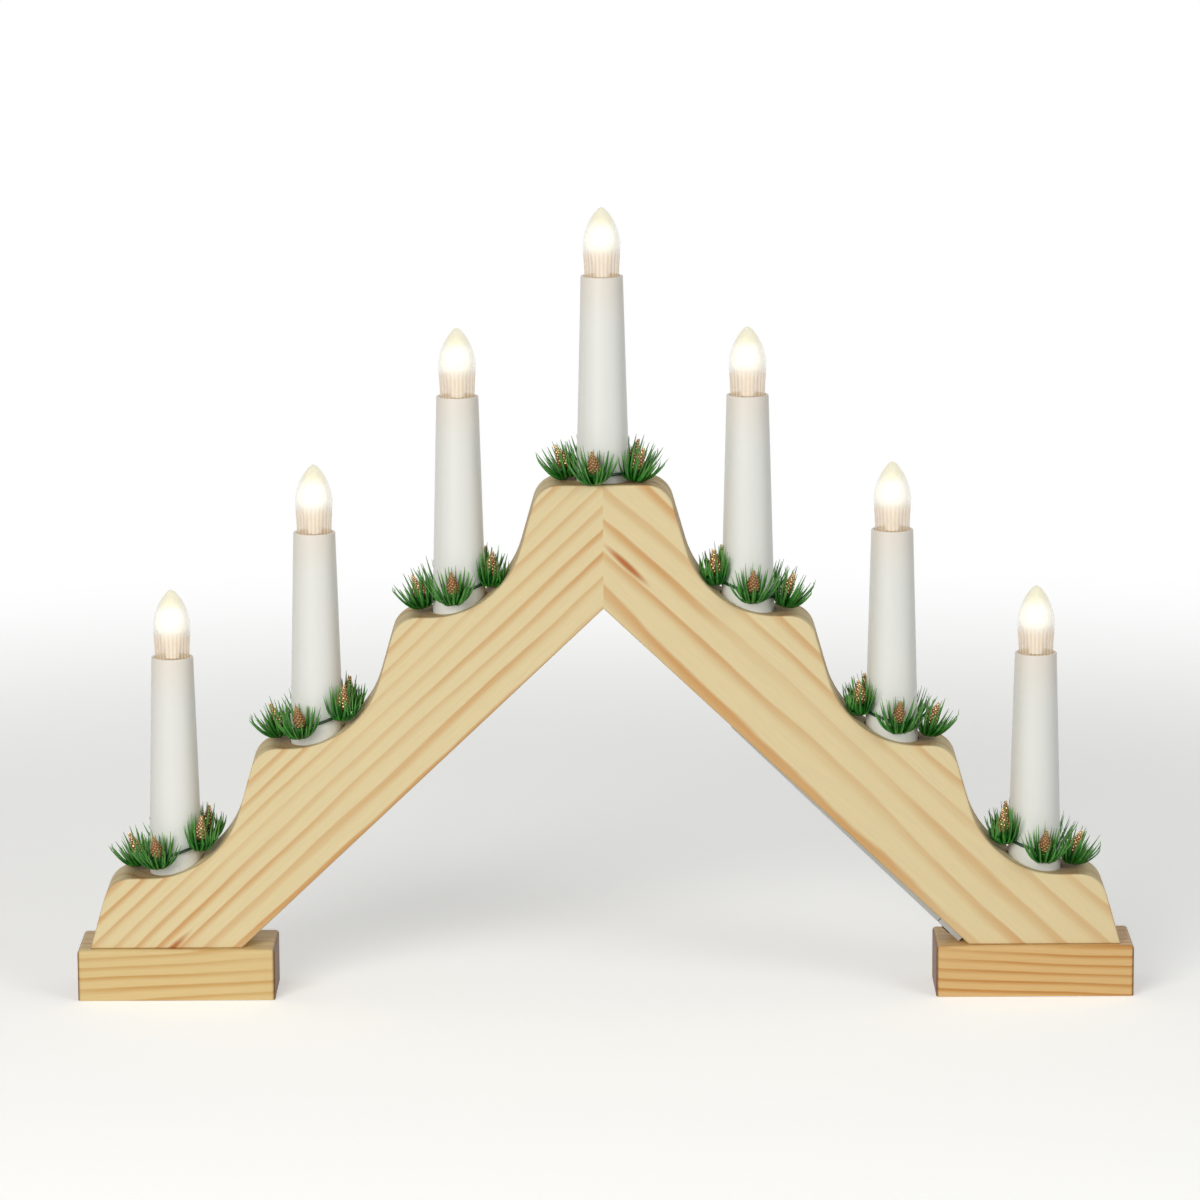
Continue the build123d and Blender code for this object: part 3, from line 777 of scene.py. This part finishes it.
# For each row: how many needles, their share of the radius and their share of the height.
NEEDLE_ROWS = ((16, 1.0, 0.74), (12, 0.74, 0.90), (8, 0.46, 1.0))
OPEN_TUFT = {"lean": 19.0, "inner_limit": 3.2 * MM, "outer_limit": 11.3 * MM, "side_share": 1.08}
PRESSED_TUFT = {"lean": 3.0, "inner_limit": 2.6 * MM, "outer_limit": 5.2 * MM, "side_share": 0.85}
CONE_WINDOW = 0.45
CONE_WINDOW_REACH = 0.62
TURN_DRIFT = 0.28
SPREAD_RANGE = (0.88, 1.06)
REACH_RANGE = (0.84, 1.04)
LEAN_DRIFT = 3.0
WIDTH_RANGE = (0.85, 1.15)
CUP_RINGS = 8
CUP_STEP = 0.5 * MM
CUP_SIDES = 20
CUP_ROOT = 0.7 * MM
CUP_FLARE = 0.45


def cup_surface(height, turn):
    return CUP_ROOT + CUP_FLARE * height


def tuft_mesh(seed, pressed):
    draw = random.Random(seed)
    points, faces, along = [], [], []
    hold = PRESSED_TUFT if pressed else OPEN_TUFT
    for row, (count, spread, reach) in enumerate(NEEDLE_ROWS):
        start = draw.uniform(0, 2 * math.pi)
        for index in range(count):
            turn = start + 2 * math.pi * (index + draw.uniform(-TURN_DRIFT, TURN_DRIFT)) / count
            before_cone = row > 0 and math.cos(turn) > CONE_WINDOW
            line = needle_line(
                turn,
                spread * draw.uniform(*SPREAD_RANGE),
                reach * draw.uniform(*REACH_RANGE) * (CONE_WINDOW_REACH if before_cone else 1.0),
                hold["lean"] + draw.uniform(-LEAN_DRIFT, LEAN_DRIFT),
                hold["inner_limit"],
                hold["outer_limit"],
                hold["side_share"],
            )
            blade(line, NEEDLE_WIDTH * draw.uniform(*WIDTH_RANGE), points, faces, along)
    cup_heights = [step * CUP_STEP for step in range(CUP_RINGS)]
    cup_points, cup_faces = lathe(cup_heights, CUP_SIDES, cup_surface)
    first = len(points)
    points.extend(cup_points)
    along.extend([0.0] * len(cup_points))
    faces.extend(tuple(first + corner for corner in face) for face in cup_faces)
    return points, faces, along


print("needles in a tuft:", sum(row[0] for row in NEEDLE_ROWS))

# %% [markdown]
# A gilded cone is a slim pointed body under rows of overlapping scales, set in a spiral.
# The scales could be a bump pattern, but at this size they catch the light one by one. The
# turn from one scale to the next is the golden angle, as on a real pine cone, so that no
# two scales sit in line.

# %% One cone
CONE_LENGTH = 9.4 * MM
CONE_RADIUS = 2.7 * MM
CONE_ROWS = 14
CONE_SIDES = 16
CONE_SCALES = 84
CORE_SHARE = 0.8
CORE_MARGIN = 0.05 * MM
FIRST_SCALE, SCALE_SPAN = 0.03, 0.93
SCALE_ROOT_DEPTH = 0.72
SCALE_SIZE = 1.05 * MM
SCALE_SHRINK = 0.45
SCALE_OUT, SCALE_UP = 0.55, 1.25
SCALE_BULGE, SCALE_HALF_WIDTH = 0.25, 0.6
SCALE_CROWN, SCALE_HOLLOW = 0.22, 0.3
GOLDEN_TURN = math.pi * (3 - math.sqrt(5))
CONE_SLIMMEST = 0.42
BELLY_PLACE, BELLY_CURVE = 0.18, 0.8


def cone_radius(share):
    # A half wave whose crest lies low on the cone, closed to a point at the top.
    wave = math.sin(math.pi * min(1.0, share + BELLY_PLACE) ** BELLY_CURVE)
    return CONE_RADIUS * (CONE_SLIMMEST + (1.0 - CONE_SLIMMEST) * wave) * (1 - share ** 3)


def cone_core(height, turn):
    return CORE_SHARE * cone_radius(height / CONE_LENGTH) + CORE_MARGIN


def cone_scale(index):
    # Six points: root, one side, tip, other side, then the raised and the hollow middle.
    share = FIRST_SCALE + SCALE_SPAN * index / CONE_SCALES
    turn = GOLDEN_TURN * index
    out = Vector((math.cos(turn), math.sin(turn), 0.0))
    aside = Vector((-math.sin(turn), math.cos(turn), 0.0))
    root = out * cone_radius(share) * SCALE_ROOT_DEPTH + Vector((0, 0, CONE_LENGTH * share))
    size = SCALE_SIZE * (1.0 - SCALE_SHRINK * share)
    tip = root + out * size * SCALE_OUT + Vector((0, 0, size * SCALE_UP))
    middle = (root + tip) / 2 + out * size * SCALE_BULGE
    half_width = aside * size * SCALE_HALF_WIDTH
    crown = middle + out * size * SCALE_CROWN
    hollow = middle - out * size * SCALE_HOLLOW
    return root, middle + half_width, tip, middle - half_width, crown, hollow


def cone_mesh():
    rings = [CONE_LENGTH * (step / CONE_ROWS) for step in range(CONE_ROWS + 1)]
    points, faces = lathe(rings, CONE_SIDES, cone_core)
    along = [0.0] * len(points)
    for index in range(CONE_SCALES):
        first = len(points)
        points.extend(tuple(corner) for corner in cone_scale(index))
        along.extend((0.0, 0.5, 1.0, 0.5, 0.8, 0.2))
        for corner in range(4):
            after = (corner + 1) % 4
            faces.append((first + corner, first + after, first + 4))
            faces.append((first + after, first + corner, first + 5))
    return points, faces, along


cone_piece = cone_mesh()
print("cone:", CONE_SCALES, "scales,", len(cone_piece[1]), "faces")

# %% [markdown]
# The needles are glossy deep-green plastic, with a painted highlight that makes them paler
# and yellower towards their tips, where the light catches them. The cones are brown under
# gold paint that has caught the ends of the scales. Painting each by hand would take a
# picture per piece. Both read how far along the needle or scale a point is instead, and
# noise breaks the line up.

# %% Needle and cone finishes
DEEP_GREEN, MID_GREEN, TIP_HIGHLIGHT_GREEN = colour(18, 98, 22), colour(58, 146, 44), colour(116, 174, 88)
NEEDLE_ROUGHNESS = 0.34
NEEDLE_GRAIN = 1800.0
NEEDLE_SHINE = 0.4
CLUMP_SCALE = 320.0
CLUMP_LOW, CLUMP_HIGH = 0.35, 0.7
TIP_HIGHLIGHT_STARTS = 0.35
TIP_HIGHLIGHT_SHARE = 0.75
CONE_BROWN, CONE_GOLD = colour(142, 92, 54), colour(232, 196, 142)
GILT_PATCHES = 700.0
GILT_DRIFT = 0.9
GILT_STARTS, GILT_FULL = 0.6, 1.05
GILT_METAL = 0.6
GILT_GLOSS = 0.18
CONE_ROUGHNESS = 0.5
PAINT_RELIEF = 0.03 * MM
PAINT_STRENGTH = 0.4


def along_share(tree):
    return node(tree, "ShaderNodeAttribute", attribute_name="along").outputs["Fac"]


def needle_plastic():
    material, tree, shader, skin = plastic("needle_green", DEEP_GREEN, NEEDLE_ROUGHNESS, NEEDLE_GRAIN)
    clumps = noise(tree, own_position(tree), CLUMP_SCALE, 2.0)
    uneven = soft_step(tree, clumps, CLUMP_LOW, CLUMP_HIGH)
    shade = mix_colour(tree, uneven, skin.outputs["Colour"], MID_GREEN)
    # Painted highlight: the needles grow paler and yellower towards their tips.
    tip = maths(tree, "MULTIPLY", soft_step(tree, along_share(tree), TIP_HIGHLIGHT_STARTS, 1.0), TIP_HIGHLIGHT_SHARE)
    tree.links.new(mix_colour(tree, tip, shade, TIP_HIGHLIGHT_GREEN), shader.inputs["Base Color"])
    shader.inputs["Specular IOR Level"].default_value = NEEDLE_SHINE
    return material


def gilded_paint():
    material, tree, shader = new_material("gilded_cone")
    patches = noise(tree, own_position(tree), GILT_PATCHES, 2.0, 0.6)
    reach = maths(tree, "ADD", along_share(tree), maths(tree, "MULTIPLY", patches, GILT_DRIFT))
    gilt = soft_step(tree, reach, GILT_STARTS, GILT_FULL)
    tree.links.new(mix_colour(tree, gilt, CONE_BROWN, CONE_GOLD), shader.inputs["Base Color"])
    tree.links.new(maths(tree, "MULTIPLY", gilt, GILT_METAL), shader.inputs["Metallic"])
    dull = maths(tree, "SUBTRACT", CONE_ROUGHNESS, maths(tree, "MULTIPLY", gilt, GILT_GLOSS))
    tree.links.new(dull, shader.inputs["Roughness"])
    bump(tree, shader, patches, PAINT_RELIEF, PAINT_STRENGTH)
    return material


needle_green = needle_plastic()
gilded = gilded_paint()
print("wreath finishes:", needle_green.name, gilded.name)

# %% [markdown]
# The tufts stand upright round a ring that is level on the middle candle and tipped up on
# the uphill side of the others. Each wreath is turned round its candle by an angle of its
# own. The places could be typed in one by one. They are worked out from the ring's own
# size and height instead, so that a tuft stays on its ring if the ring's place changes.

# %% Places round a ring
WREATH_TURNS = (-24.0, -23.0, -8.0, -13.0, 6.0, 8.0, 11.0)
TUFTS = 5
MIDDLE_CANDLE = 4
RING_TILT = math.radians(17.0)
RING_REACH = 14.35 * MM
PRESSED_REACH = 13.4 * MM
OPEN_DROP = 3.0 * MM
PRESSED_DROP = 2.0 * MM
PRESSED_FROM = 0.5


def tuft_places(number):
    low, high = (Vector(corner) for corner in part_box(f"wreath_ring_{number}"))
    middle = (low + high) / 2
    side = (number > MIDDLE_CANDLE) - (number < MIDDLE_CANDLE)
    for index in range(TUFTS):
        turn = math.radians(WREATH_TURNS[number - 1] + 360 / TUFTS * index)
        across, ahead = math.sin(turn), -math.cos(turn)
        pressed = -across * side > PRESSED_FROM
        reach = PRESSED_REACH if pressed else RING_REACH
        drop = PRESSED_DROP if pressed else OPEN_DROP
        rise = -across * reach * math.tan(RING_TILT * side)
        spot = middle + Vector((across * reach, ahead * reach, rise - drop))
        yield Matrix.Translation(spot) @ Matrix.Rotation(turn - math.pi / 2, 4, "Z"), pressed


print("pressed tufts:", sum(pressed for number in CANDLES for place, pressed in tuft_places(number)))

# %% [markdown]
# Now the wreaths are put together. Thirty-five tufts and as many cones as separate objects
# would be slow to handle, so the tufts of one wreath are joined into one mesh and its cones
# into another. Both ride the wreath's body, so they lift off the candle with it. A cone
# leans out with its tuft, and leans less where the tuft is pressed.

# %% The wreaths
CONE_LIFT = 4.6 * MM
OPEN_CONE_LEAN = math.radians(26.0)
PRESSED_CONE_LEAN = math.radians(8.0)


def join_copies(copies):
    points, faces, along = [], [], []
    for (some_points, some_faces, some_along), matrix in copies:
        first = len(points)
        points.extend(moved(some_points, matrix))
        faces.extend(tuple(first + corner for corner in face) for face in some_faces)
        along.extend(some_along)
    return points, faces, along


for number in CANDLES:
    tufts, cones = [], []
    for index, (place, pressed) in enumerate(tuft_places(number)):
        tufts.append((tuft_mesh(100 * number + index, pressed), place))
        lean = PRESSED_CONE_LEAN if pressed else OPEN_CONE_LEAN
        stand = Matrix.Translation((0, 0, CONE_LIFT)) @ Matrix.Rotation(lean, 4, "Y")
        cones.append((cone_piece, place @ stand))
    body = f"wreath_{number}"
    make_piece(
        f"needle_tufts_{number}", join_copies(tufts), needle_green, body,
        f"pine_tufts_{number}",
    )
    make_piece(
        f"gilt_cones_{number}", join_copies(cones), gilded, body, f"gold_cones_{number}",
        smooth=False,
    )
print("wreaths made:", len(CANDLES))

# %% [markdown]
# The stage is a pale floor that keeps the arch's soft shadow, and fades into a white
# surround a little way off. A floor with a far edge would draw a line behind the arch, and
# a very bright surround would bleach the wood. So what the camera sees is made white by
# asking the light path, and that white puts no more light on the wood.

# %% Floor and surround
FLOOR_SIZE = 6.0
FLOOR_GAP = 0.2 * MM
FLOOR_TONE = colour(240, 240, 238)
FLOOR_ROUGHNESS = 0.9
FLOOR_SHINE = 0.1
FLOOR_LIFT = 0.46
FADE_STARTS, FADE_ENDS = 0.4, 0.95
AMBIENT = 0.2


def seen_directly(tree):
    # What the camera, mirrors and clear plastic see.
    path = node(tree, "ShaderNodeLightPath").outputs
    seen = maths(tree, "MAXIMUM", path["Is Camera Ray"], path["Is Glossy Ray"])
    return maths(tree, "MAXIMUM", seen, path["Is Transmission Ray"])


def floor_paper():
    material, tree, shader = new_material("floor_paper")
    shader.inputs["Base Color"].default_value = FLOOR_TONE
    shader.inputs["Roughness"].default_value = FLOOR_ROUGHNESS
    shader.inputs["Specular IOR Level"].default_value = FLOOR_SHINE
    shader.inputs["Emission Color"].default_value = FLOOR_TONE
    lift = maths(tree, "MULTIPLY", seen_directly(tree), FLOOR_LIFT)
    tree.links.new(lift, shader.inputs["Emission Strength"])
    away = vector_maths(tree, "LENGTH", own_position(tree)).outputs["Value"]
    tree.links.new(soft_step(tree, away, FADE_ENDS, FADE_STARTS), shader.inputs["Alpha"])
    return material


half = FLOOR_SIZE / 2
floor_mesh = bpy.data.meshes.new("floor")
floor_corners = [(-half, -half, 0), (half, -half, 0), (half, half, 0), (-half, half, 0)]
floor_mesh.from_pydata(floor_corners, [], [(0, 1, 2, 3)])
floor_mesh.materials.append(floor_paper())
floor = bpy.data.objects.new("floor", floor_mesh)
floor.location.z = -FLOOR_GAP
bpy.context.scene.collection.objects.link(floor)

world = bpy.data.worlds.new("studio")
bpy.context.scene.world = world
world.use_nodes = True
surround = world.node_tree.nodes["Background"]
surround.inputs["Color"].default_value = (1.0, 1.0, 1.0, 1.0)
whiteness = scaled(world.node_tree, seen_directly(world.node_tree), 1.0 - AMBIENT, AMBIENT)
world.node_tree.links.new(whiteness, surround.inputs["Strength"])
print("floor:", FLOOR_SIZE, "m wide, surround light:", AMBIENT)

# %% [markdown]
# The light is one broad soft lamp at the front, a little left and above, with a weaker one
# on the right that keeps the shaded sides readable. A small hard lamp would draw sharp
# shadows, and the real arch is seen in soft light. The steps' tops, which the front lamp
# grazes, stay a shade darker, and the wood's end tone adds painted shade to them.

# %% Lamps
LAMP_TARGET = Vector((0.0, 0.0, 0.14))


def soft_lamp(name, place, size, power, tone):
    data = bpy.data.lights.new(name, "AREA")
    data.shape = "SQUARE"
    data.size = size
    data.energy = power
    data.color = tone
    lamp = bpy.data.objects.new(name, data)
    lamp.location = place
    lamp.rotation_euler = (LAMP_TARGET - Vector(place)).to_track_quat("-Z", "Y").to_euler()
    bpy.context.scene.collection.objects.link(lamp)
    return lamp


lamps = [
    soft_lamp("front_lamp", place=(-0.7, -1.5, 0.75), size=0.9, power=19.0, tone=(1.0, 0.985, 0.955)),
    soft_lamp("side_lamp", place=(1.1, -1.0, 0.9), size=0.8, power=6.0, tone=(0.98, 0.99, 1.0)),
]
print("lamps:", [(lamp.name, lamp.data.energy) for lamp in lamps])

# %% [markdown]
# The camera stands where the picture was taken: almost square to the arch, about 2.3 m
# away with a long lens, looking down by about eleven degrees and tilted a third of a
# degree, so the arch seems to rise slightly to the right. A camera set by eye would miss
# such small angles. These were solved from the edges of the feet, arms and candles.

# %% Camera
CAMERA_PLACE = (7.92 * MM, -2241.2 * MM, 577.6 * MM)
CAMERA_TURN = math.radians(0.238)
CAMERA_DIP = math.radians(10.697)
CAMERA_ROLL = math.radians(-0.339)
CAMERA_FOCUS_PIXELS = 5904.3
FRAME_PIXELS = 1200
SENSOR = 36.0


def camera_matrix():
    ahead = Vector((-math.sin(CAMERA_TURN), math.cos(CAMERA_TURN), 0.0)) * math.cos(CAMERA_DIP)
    ahead.z = -math.sin(CAMERA_DIP)
    right = Vector((math.cos(CAMERA_TURN), math.sin(CAMERA_TURN), 0.0))
    up = right.cross(ahead)
    rolled = right * math.cos(CAMERA_ROLL) + up * math.sin(CAMERA_ROLL)
    upright = up * math.cos(CAMERA_ROLL) - right * math.sin(CAMERA_ROLL)
    turn = Matrix((rolled, upright, -ahead)).transposed().to_4x4()
    return Matrix.Translation(CAMERA_PLACE) @ turn


camera_data = bpy.data.cameras.new("camera")
camera_data.sensor_width = SENSOR
camera_data.lens = CAMERA_FOCUS_PIXELS / FRAME_PIXELS * SENSOR
camera_data.clip_end = 20.0
camera = bpy.data.objects.new("camera", camera_data)
camera.matrix_world = camera_matrix()
bpy.context.scene.collection.objects.link(camera)
bpy.context.scene.camera = camera
bpy.context.scene.view_settings.view_transform = "Standard"
print("lens:", round(camera_data.lens, 1), "mm")
